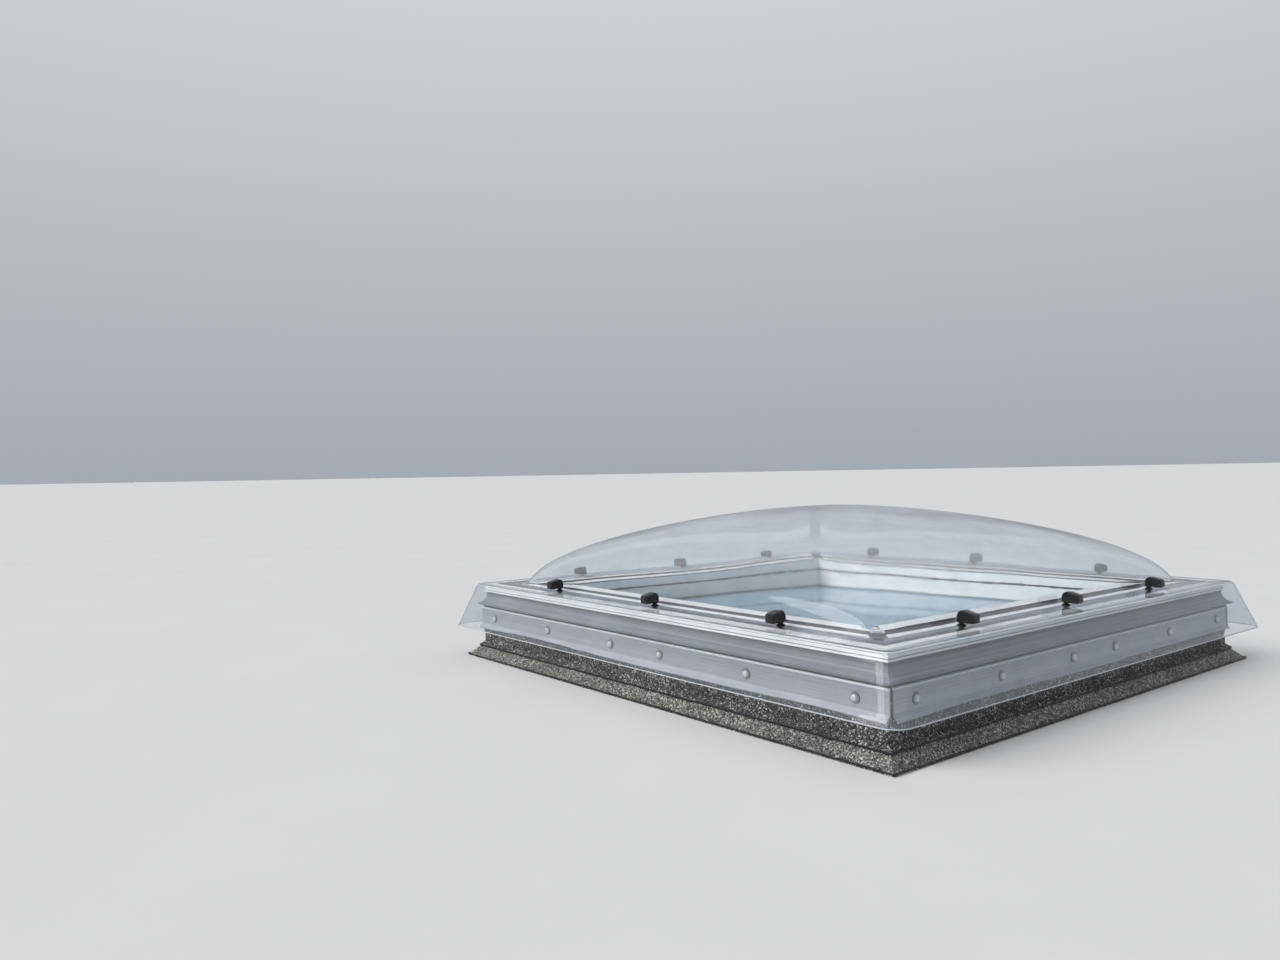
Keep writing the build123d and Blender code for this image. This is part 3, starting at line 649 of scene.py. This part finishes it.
def buildKnob(side, number, along):
    k = knob
    outward = sides[side]
    across = outward.cross(up)
    origin = placeOn(outward, k.across, along, k.bottom)
    outline = [origin + outward * x + up * (k.stemHeight + z) for x, z in wingOutline()]
    shape = pushedOutline([p - across * k.width / 2 for p in outline], across * k.width)
    sharp = [e for e in shape.edges if e.calc_face_angle(0) > math.radians(k.edgeAngle)]
    bmesh.ops.bevel(shape, geom=sharp, offset=k.edgeRound, segments=k.edgeSteps, affect="EDGES",
                    profile=0.5)
    panels = [f for f in shape.faces if len(f.verts) > 8 and abs(f.normal.dot(across)) > 0.99]
    bmesh.ops.inset_individual(shape, faces=panels, thickness=k.panelBorder, depth=0)
    bmesh.ops.inset_individual(shape, faces=panels, thickness=k.panelDepth, depth=-k.panelDepth)
    for radius, top, height in ((k.stemRadius, k.stemRadius, k.stemHeight + k.stemSunk),
                                (k.collarRadius, k.stemRadius, k.collarHeight)):
        stem = bmesh.ops.create_cone(shape, segments=k.stemSides, cap_ends=True, radius1=radius,
                                     radius2=top, depth=height)
        bmesh.ops.translate(shape, verts=stem["verts"], vec=origin + up * height / 2)
    name = "knob_" + side + "_" + str(number)
    piece = shapeObject(name + "_wing", shape, finishes["knob"], smoothAngle=40)
    finishPiece(piece, name, "knob_plastic", name)


outerKnob = knob.frameHalf - knob.endFromCorner
for side in sides:
    for number, along in enumerate((-outerKnob, 0.0, outerKnob), start=1):
        buildKnob(side, number, along)

print("stage: clamping rails")

rail = SimpleNamespace(
    face=606 * mm, back=603.4 * mm, top=117.6 * mm, bead=3 * mm, beadTall=3.4 * mm,
    beadSlope=1 * mm, beadRound=1.44 * mm, flatEnd=77.6 * mm, flareOut=8.8 * mm,
    flareDrop=8.2 * mm, lipThick=2.34 * mm, bendRound=3 * mm, bendLag=1.3 * mm,
    edgeRound=0.9 * mm, tipRound=0.6 * mm, cornerGap=10 * mm,
)


def railProfile():
    r = rail
    flare = Vector((r.flareOut, -r.flareDrop))
    slope = flare.normalized()
    tip = Vector((r.face, r.flatEnd)) + flare
    inside = tip + Vector((slope.y, -slope.x)) * r.lipThick
    bead, beadFoot = r.face + r.bead, r.top - r.beadTall
    return roundedOutline([
        (r.back, r.top, r.edgeRound), (r.back, r.flatEnd - r.bendLag, r.bendRound),
        (*inside, r.tipRound), (*tip, r.tipRound), (r.face, r.flatEnd, r.bendRound),
        (r.face, beadFoot, r.tipRound), (bead, beadFoot + r.beadSlope, r.edgeRound),
        (bead, r.top, r.beadRound),
    ], steps=4)


def buildRail(side, reach):
    outward = sides[side]
    outline = [placeOn(outward, x, -reach, z) for x, z in railProfile()]
    shape = pushedOutline(outline, outward.cross(up) * 2 * reach)
    piece = shapeObject("clampRail_" + side, shape, finishes["rail" + lengthwise[side]], smoothAngle=35)
    finishPiece(piece, "root", "rail_metal", "clamping_rail_" + side)


for side in sides:
    # the front and back rails run on to the corners, and the side rails stop short of them
    buildRail(side, rail.face - (0 if lengthwise[side] == "X" else rail.cornerGap))

print("stage: rail screws and washers")

railScrews = SimpleNamespace(
    face=606 * mm, z=94 * mm, end=56 * mm, middle=156 * mm, seed=4, turnSides=28,
    headRadius=5.2 * mm, headHeight=3.6 * mm,
    headStraight=0.35, recessHeight=1.1,  # shares of the head's height
    washerRadius=8.7 * mm, washerHeight=1.4 * mm, washerEdge=0.5 * mm,
    sealRadius=9.4 * mm, sealHeight=1.2 * mm, sealEdge=0.3 * mm,
    bore=2.9 * mm, recess=1.1 * mm, recessReach=2.6 * mm,
    underEdge=0.6,  # share of a ring's upper bevel that its lower one has
)


def revolved(name, profile):
    points, faces = [], []
    segments, rows = railScrews.turnSides, len(profile)
    for k in range(segments):
        angle = 2 * math.pi * k / segments
        points += [(r * math.cos(angle), r * math.sin(angle), z) for r, z in profile]
        for row in range(rows - 1):
            a, b = k * rows + row, ((k + 1) % segments) * rows + row
            faces.append((a, b, b + 1, a + 1))
    return outwardFaces(meshObject(name, points, faces, finishes["steel"]))


def panHead():
    s = railScrews
    r, h = s.headRadius, s.headHeight
    straight = h * s.headStraight
    angles = np.linspace(0, math.pi / 2, 7)[1:]
    dome = [(r * math.cos(a), straight + h * (1 - s.headStraight) * math.sin(a)) for a in angles]
    head = revolved("panHead", [(0, 0), (r, 0), (r, straight)] + dome)
    cutter = bmesh.new()
    for width, length in ((s.recess, s.recessReach * 2), (s.recessReach * 2, s.recess)):
        bar = bmesh.ops.create_cube(cutter, size=1.0)
        bmesh.ops.scale(cutter, verts=bar["verts"], vec=(width, length, h))
        bmesh.ops.translate(cutter, verts=bar["verts"], vec=(0, 0, h * s.recessHeight))
    tool = shapeObject("crossCutter", cutter)
    cut = head.modifiers.new("cross", "BOOLEAN")
    cut.object = tool
    cut.operation = "DIFFERENCE"
    cut.use_self = True
    head.data = evaluatedMesh(head)
    head.modifiers.clear()
    bpy.data.objects.remove(tool)
    return head


def ringPart(name, radius, height, edge):
    bore, underEdge = railScrews.bore, railScrews.underEdge
    return revolved(name, [
        (bore, 0), (radius - edge, 0), (radius, edge * underEdge), (radius, height - edge),
        (radius - edge, height), (bore, height), (bore, 0),
    ])


def seatedRow():
    tree, add, given = newTree("seatedRow", {
        "Part": ("NodeSocketObject", None), "Seed": ("NodeSocketInt", 0),
        "Finish": ("NodeSocketMaterial", None),
    })
    outward = add("GeometryNodeInputNamedAttribute", {"data_type": "FLOAT_VECTOR", "Name": "outward"})
    facing = add("FunctionNodeAlignRotationToVector", {"axis": "Z"}, {"Vector": outward.outputs["Attribute"]})
    turn = add("FunctionNodeRandomValue", {"data_type": "FLOAT", 2: 0.0, 3: math.pi}, {"Seed": given["Seed"]})
    spin = add("FunctionNodeAxisAngleToRotation", {"Axis": (0, 0, 1)}, {"Angle": turn.outputs[1]})
    rotation = add("FunctionNodeRotateRotation", {"rotation_space": "LOCAL"},
                   {"Rotation": facing, "Rotate By": spin})
    part = add("GeometryNodeObjectInfo", links={"Object": given["Part"]})
    placed = add("GeometryNodeInstanceOnPoints", links={
        "Points": given["Geometry"], "Instance": part.outputs["Geometry"], "Rotation": rotation,
    })
    add("NodeGroupOutput", links={"Geometry": madeReal(add, placed, given["Finish"])})
    return tree


def seatPoints(name, across, z, offsets):
    points, facings = [], []
    for outward in sides.values():
        for offset in offsets:
            points.append(placeOn(outward, across, offset, z))
            facings.extend(outward)
    seats = meshObject(name, points, [], finishes["steel"])
    seats.data.attributes.new("outward", "FLOAT_VECTOR", "POINT").data.foreach_set("vector", facings)
    return seats


s = railScrews
pitch = (knob.frameHalf - s.end - s.middle / 2) / 2
screwOffsets = [sign * (s.middle / 2 + step * pitch) for sign in (-1, 1) for step in range(3)]
rowTree = seatedRow()
washerPart = ringPart("disc", s.washerRadius, s.washerHeight, s.washerEdge)
sealPart = ringPart("seal", s.sealRadius, s.sealHeight, s.sealEdge)
for name, master, lift, finish, slot, replaced in (
    ("railScrewHeads", panHead(), s.sealHeight + s.washerHeight, "steel", "steel", "rail_screws"),
    ("railWashers", washerPart, s.sealHeight, "washer", "steel_washer", "rail_washers"),
    ("railSeals", sealPart, 0.0, "rubber", "seal_rubber", "rail_washers"),
):
    row = seatPoints(name, s.face + lift, s.z, screwOffsets)
    runTree(row, rowTree, {"Part": master, "Seed": s.seed, "Finish": finishes[finish]})
    row.data.shade_smooth()
    row.data.set_sharp_from_angle(angle=math.radians(35))
    finishPiece(row, "root", slot, replaced)
    bpy.data.objects.remove(master)

print("stage: felt")

felt = SimpleNamespace(
    face=603 * mm, top=120 * mm, bend=34.3 * mm, lap=24 * mm, toe=634.66 * mm,
    thickness=4 * mm, boardFace=599 * mm, cantRise=30 * mm, step=6 * mm, mitreGap=0.15 * mm,
    relief=0.55 * mm, reliefPitch=420, wander=1.1 * mm, wanderPitch=7, wanderSlip=(3, 8, 1),
    lean=0.4, calm=0.2,  # waves lift a little as they push out, and lie down at the clamped edges
    grainDensity=30000.0, grainSize=1.5 * mm, seed=11,
    grainLeast=(0.3, 0.3, 0.2), grainMost=(1, 0.8, 0.5),  # shares of that size, the last one its height
    grainFrom=5 * mm, grainTo=82 * mm,  # heights between which grains stand out of the sheet
    faceSlack=2 * mm,
)


def feltStrip(name, outward, profile, finish):
    # profile runs round the section as (across, z, waviness); the ends are cut on the mitre
    along = outward.cross(up)
    count = int(2 * max(p[0] for p in profile) / felt.step)
    points, faces = [], []
    rows = len(profile)
    for k in range(count + 1):
        share = 2 * k / count - 1
        for across, z, waviness in profile:
            base = outward * across + along * (share * (across - felt.mitreGap)) + up * z
            if waviness:
                grain = noise.noise(base * felt.reliefPitch) * felt.relief
                wave = noise.noise(base * felt.wanderPitch + Vector(felt.wanderSlip)) * felt.wander
                base = base + (outward + up * felt.lean) * (grain + wave * waviness - felt.relief)
                base.z = max(base.z, 0.0)
            points.append(base)
    for k in range(count):
        for row in range(rows):
            a, b = k * rows + row, k * rows + (row + 1) % rows
            faces.append((a, b, b + rows, a + rows))
    faces.append(tuple(range(rows - 1, -1, -1)))
    faces.append(tuple(range(count * rows, count * rows + rows)))
    return outwardFaces(meshObject(name, points, faces, finish))


def densified(points, step):
    result = []
    for (a, za, fa), (b, zb, fb) in zip(points, points[1:] + points[:1]):
        pieces = max(1, round(math.hypot(b - a, zb - za) / step)) if fa and fb else 1
        for k in range(pieces):
            share = k / pieces
            result.append((a + (b - a) * share, za + (zb - za) * share, min(fa, fb) if k else fa))
    return result


def granuleScatter():
    tree, add, given = newTree("granuleScatter", {
        "Density": ("NodeSocketFloat", 1000.0), "Size": ("NodeSocketFloat", 0.002),
        "Seed": ("NodeSocketInt", 0), "Stone": ("NodeSocketMaterial", None),
        "Sheet": ("NodeSocketMaterial", None),
    })
    lit = add("GeometryNodeInputNamedAttribute", {"data_type": "FLOAT", "Name": "grained"})
    thin = add("ShaderNodeMath", {"operation": "MULTIPLY"},
               {0: lit.outputs["Attribute"], 1: given["Density"]})
    scattered = add("GeometryNodeDistributePointsOnFaces", {"distribute_method": "RANDOM"},
                    {"Mesh": given["Geometry"], "Density": thin, "Seed": given["Seed"]})
    stone = add("GeometryNodeMeshIcoSphere", {"Subdivisions": 1}, {"Radius": given["Size"]})
    size = add("FunctionNodeRandomValue",
               {"data_type": "FLOAT_VECTOR", 0: felt.grainLeast, 1: felt.grainMost},
               {"Seed": given["Seed"]})
    placed = add("GeometryNodeInstanceOnPoints", links={
        "Points": scattered, "Instance": stone, "Rotation": scattered.outputs["Rotation"], "Scale": size,
    })
    tone = add("FunctionNodeRandomValue", {"data_type": "FLOAT"}, {"Seed": given["Seed"]})
    toned = add("GeometryNodeStoreNamedAttribute",
                {"data_type": "FLOAT", "domain": "INSTANCE", "Name": "grainTone"},
                {"Geometry": placed, "Value": tone.outputs[1]})
    sheet = add("GeometryNodeSetMaterial", links={"Geometry": given["Geometry"], "Material": given["Sheet"]})
    grains = madeReal(add, toned, given["Stone"])
    joined = add("GeometryNodeJoinGeometry", links={"Geometry": grains})
    tree.links.new(sheet.outputs[0], joined.inputs["Geometry"])
    add("NodeGroupOutput", links={"Geometry": joined})
    return tree


def markGrained(piece):
    marks = []
    for point in piece.data.vertices:
        reach = max(abs(point.co.x), abs(point.co.y))
        seen = felt.grainFrom < point.co.z < felt.grainTo and reach > felt.face - felt.faceSlack
        marks.append(1.0 if seen else 0.0)
    piece.data.attributes.new("grained", "FLOAT", "POINT").data.foreach_set("value", marks)


scatterTree = granuleScatter()
slopeRise = felt.thickness * math.sqrt(2)
lapAcross = felt.toe - felt.lap
lapOut = felt.thickness / math.sqrt(2)
upperProfile = [
    (felt.boardFace, felt.top, 0), (felt.boardFace, felt.cantRise + slopeRise, 0),
    (lapAcross, felt.lap, 0), (lapAcross + lapOut, felt.lap + lapOut, 1),
    (felt.face, felt.bend, 1), (felt.face, felt.top, felt.calm),
]
lowerProfile = [
    (felt.boardFace, felt.cantRise, 0), (felt.boardFace + felt.cantRise, 0, 0),
    (felt.toe, 0, felt.calm), (felt.boardFace, felt.cantRise + slopeRise, felt.calm),
]
for number, (side, outward) in enumerate(sides.items()):
    for name, profile, replaced, finish in (
        ("feltUpper_", upperProfile, "felt_upper_" + side, finishes["felt"]),
        ("feltLower_", lowerProfile, "felt_lower", finishes["paleFelt"]),
    ):
        strip = feltStrip(name + side, outward, densified(profile, felt.step), finish)
        markGrained(strip)
        runTree(strip, scatterTree, {
            "Density": felt.grainDensity, "Size": felt.grainSize, "Seed": felt.seed + number,
            "Stone": finishes["grain"], "Sheet": finish,
        })
        finishPiece(strip, "root", "roof_felt", replaced)

print("stage: lap lines")

bleed = SimpleNamespace(  # bitumen squeezed out along the felt's laps, and the gasket's swollen lip
    step=4 * mm, seed=5.0, ripplePitch=90.0, thinnest=0.55, thickest=1.25, tubeSides=7,
    lap=SimpleNamespace(half=lapAcross + 1.6 * mm, z=felt.lap + 0.4 * mm, radius=2 * mm, wobble=2 * mm),
    toe=SimpleNamespace(half=felt.toe - 0.5 * mm, z=3.5 * mm, radius=1.9 * mm, wobble=2 * mm),
    seam=SimpleNamespace(half=450.3 * mm, z=146.5 * mm, radius=2.7 * mm, wobble=1.8 * mm),
)


def bleedTree():
    tree, add, given = newTree("bitumenBleed", {
        "Step": ("NodeSocketFloat", 0.004), "Radius": ("NodeSocketFloat", 0.002),
        "Wobble": ("NodeSocketFloat", 0.001), "Seed": ("NodeSocketFloat", 0.0),
        "Finish": ("NodeSocketMaterial", None),
    })
    curve = add("GeometryNodeMeshToCurve", links={"Mesh": given["Geometry"]})
    even = add("GeometryNodeResampleCurve", {"mode": "LENGTH"}, {"Curve": curve, "Length": given["Step"]})
    ripple = add("ShaderNodeTexNoise",
                 {"noise_dimensions": "4D", "Scale": bleed.ripplePitch, "Detail": 3.0},
                 {"W": given["Seed"]})
    centred = add("ShaderNodeVectorMath", {"operation": "SUBTRACT", 1: (0.5, 0.5, 0.5)},
                  {0: ripple.outputs["Color"]})
    shift = add("ShaderNodeVectorMath", {"operation": "SCALE"}, {0: centred, "Scale": given["Wobble"]})
    moved = add("GeometryNodeSetPosition", links={"Geometry": even, "Offset": shift})
    swell = add("ShaderNodeMapRange", {
        "From Min": 0.3, "From Max": 0.7, "To Min": bleed.thinnest, "To Max": bleed.thickest,
    }, {"Value": ripple.outputs["Fac"]})
    ring = add("GeometryNodeCurvePrimitiveCircle", {"Resolution": bleed.tubeSides},
               {"Radius": given["Radius"]})
    tube = add("GeometryNodeCurveToMesh", {"Fill Caps": True},
               {"Curve": moved, "Profile Curve": ring, "Scale": swell})
    add("NodeGroupOutput", links={"Geometry": madeReal(add, tube, given["Finish"])})
    return tree


def squareLoop(name, half, z):
    corners = [(half, -half, z), (half, half, z), (-half, half, z), (-half, -half, z)]
    mesh = bpy.data.meshes.new(name)
    mesh.from_pydata(corners, [(0, 1), (1, 2), (2, 3), (3, 0)], [])
    return newObject(name, mesh)


loopTree = bleedTree()
for name, line, finish, slot in (
    ("lapBleed", bleed.lap, "bitumen", "roof_felt"), ("toeBleed", bleed.toe, "bitumen", "roof_felt"),
    ("seamBulb", bleed.seam, "rubber", "seal_rubber"),
):
    loop = squareLoop(name, line.half, line.z)
    runTree(loop, loopTree, {
        "Step": bleed.step, "Radius": line.radius, "Wobble": line.wobble, "Seed": bleed.seed,
        "Finish": finishes[finish],
    })
    loop.data.shade_smooth()
    finishPiece(loop, "root", slot)

print("stage: floor, light and camera")

studio = SimpleNamespace(
    floorHalf=300.0, floorColour="#E2E3E3", floorShade="#DEDFDF",
    sky=[(0.0, "#A4AAB1"), (0.22, "#B8BDC2"), (0.5, "#D2D7DC"), (0.9, "#D9DEE4")],  # horizon to zenith
    ambient=0.8,
    sunFrom=(-0.352, -0.697, 0.643), sunSpread=42.0, sunStrength=1.9, sunColour="#FFFBF6",
    fillFrom=(4.5, 1.5, 4.0), fillSize=4.0, fillPower=4.0,
)


def buildFloor():
    # Matt painted floor: even and pale, with no shine.
    half = studio.floorHalf
    material, add, points = newMaterial("paleFloor")
    mottle = add("ShaderNodeTexNoise", {"Scale": 3.0, "Detail": 3.0}, {"Vector": points})
    tone = add("ShaderNodeValToRGB", {}, {"Fac": mottle},
               [(0.2, studio.floorShade), (0.8, studio.floorColour)])
    shader = add("ShaderNodeBsdfPrincipled", {"Roughness": 1.0, "Specular IOR Level": 0.0},
                 {"Base Color": tone})
    add("ShaderNodeOutputMaterial", links={"Surface": shader})
    corners = [(-half, -half, 0), (half, -half, 0), (half, half, 0), (-half, half, 0)]
    floor = meshObject("studioFloor", corners, [(0, 1, 2, 3)], material)


def buildWorld():
    world = bpy.data.worlds.new("softSky")
    bpy.context.scene.world = world
    world.use_nodes = True
    world.node_tree.nodes.clear()
    add = partial(addNode, world.node_tree)
    coordinates = add("ShaderNodeTexCoord")
    split = add("ShaderNodeSeparateXYZ", links={"Vector": coordinates.outputs["Generated"]})
    sky = add("ShaderNodeValToRGB", {}, {"Fac": split.outputs["Z"]}, studio.sky)
    rays = add("ShaderNodeLightPath")
    seen = rays.outputs["Is Camera Ray"]
    for kind in ("Is Glossy Ray", "Is Transmission Ray"):
        seen = add("ShaderNodeMath", {"operation": "MAXIMUM"}, {0: seen, 1: rays.outputs[kind]})
    strength = add("ShaderNodeMapRange", {"To Min": studio.ambient, "To Max": 1.0}, {"Value": seen})
    background = add("ShaderNodeBackground", links={"Color": sky, "Strength": strength})
    add("ShaderNodeOutputWorld", links={"Surface": background})


def newLamp(name, kind, power, hungAt):
    light = bpy.data.lights.new(name, kind)
    light.energy = power
    lamp = newObject(name, light)
    lamp.rotation_euler = (-Vector(hungAt)).to_track_quat("-Z", "Y").to_euler()
    return lamp


def buildLamps():
    sun = newLamp("sunLamp", "SUN", studio.sunStrength, studio.sunFrom)
    sun.data.color = linear(studio.sunColour)[:3]
    sun.data.angle = math.radians(studio.sunSpread)
    sun.visible_glossy = False  # the clear sheet would mirror it as a white patch
    fill = newLamp("fillLamp", "AREA", studio.fillPower, studio.fillFrom)
    fill.data.shape = "DISK"
    fill.data.size = studio.fillSize
    fill.location = studio.fillFrom


view = SimpleNamespace(
    place=(1.488, -1.758, 0.442), lens=27.05, sensor=36.0, clip=(0.05, 200),
    turn=(51.78, 0.5, -0.99),  # degrees: towards -X from +Y, downwards, and leaning
)


def buildCamera():
    yaw, pitch, roll = map(math.radians, view.turn)
    ahead = Vector((-math.sin(yaw) * math.cos(pitch), math.cos(yaw) * math.cos(pitch), -math.sin(pitch)))
    right = Vector((math.cos(yaw), math.sin(yaw), 0))
    above = right.cross(ahead)
    rightRolled = right * math.cos(roll) + above * math.sin(roll)
    aboveRolled = above * math.cos(roll) - right * math.sin(roll)
    camera = newObject("photoCamera", bpy.data.cameras.new("photoCamera"))
    turn = Matrix((rightRolled, aboveRolled, -ahead)).transposed()
    camera.matrix_world = Matrix.Translation(view.place) @ turn.to_4x4()
    camera.data.sensor_fit = "HORIZONTAL"
    camera.data.sensor_width = view.sensor
    camera.data.lens = view.lens
    camera.data.clip_start, camera.data.clip_end = view.clip
    bpy.context.scene.camera = camera


buildFloor()
buildWorld()
buildLamps()
buildCamera()
bpy.context.scene.view_settings.view_transform = "Standard"

print("stage: done")
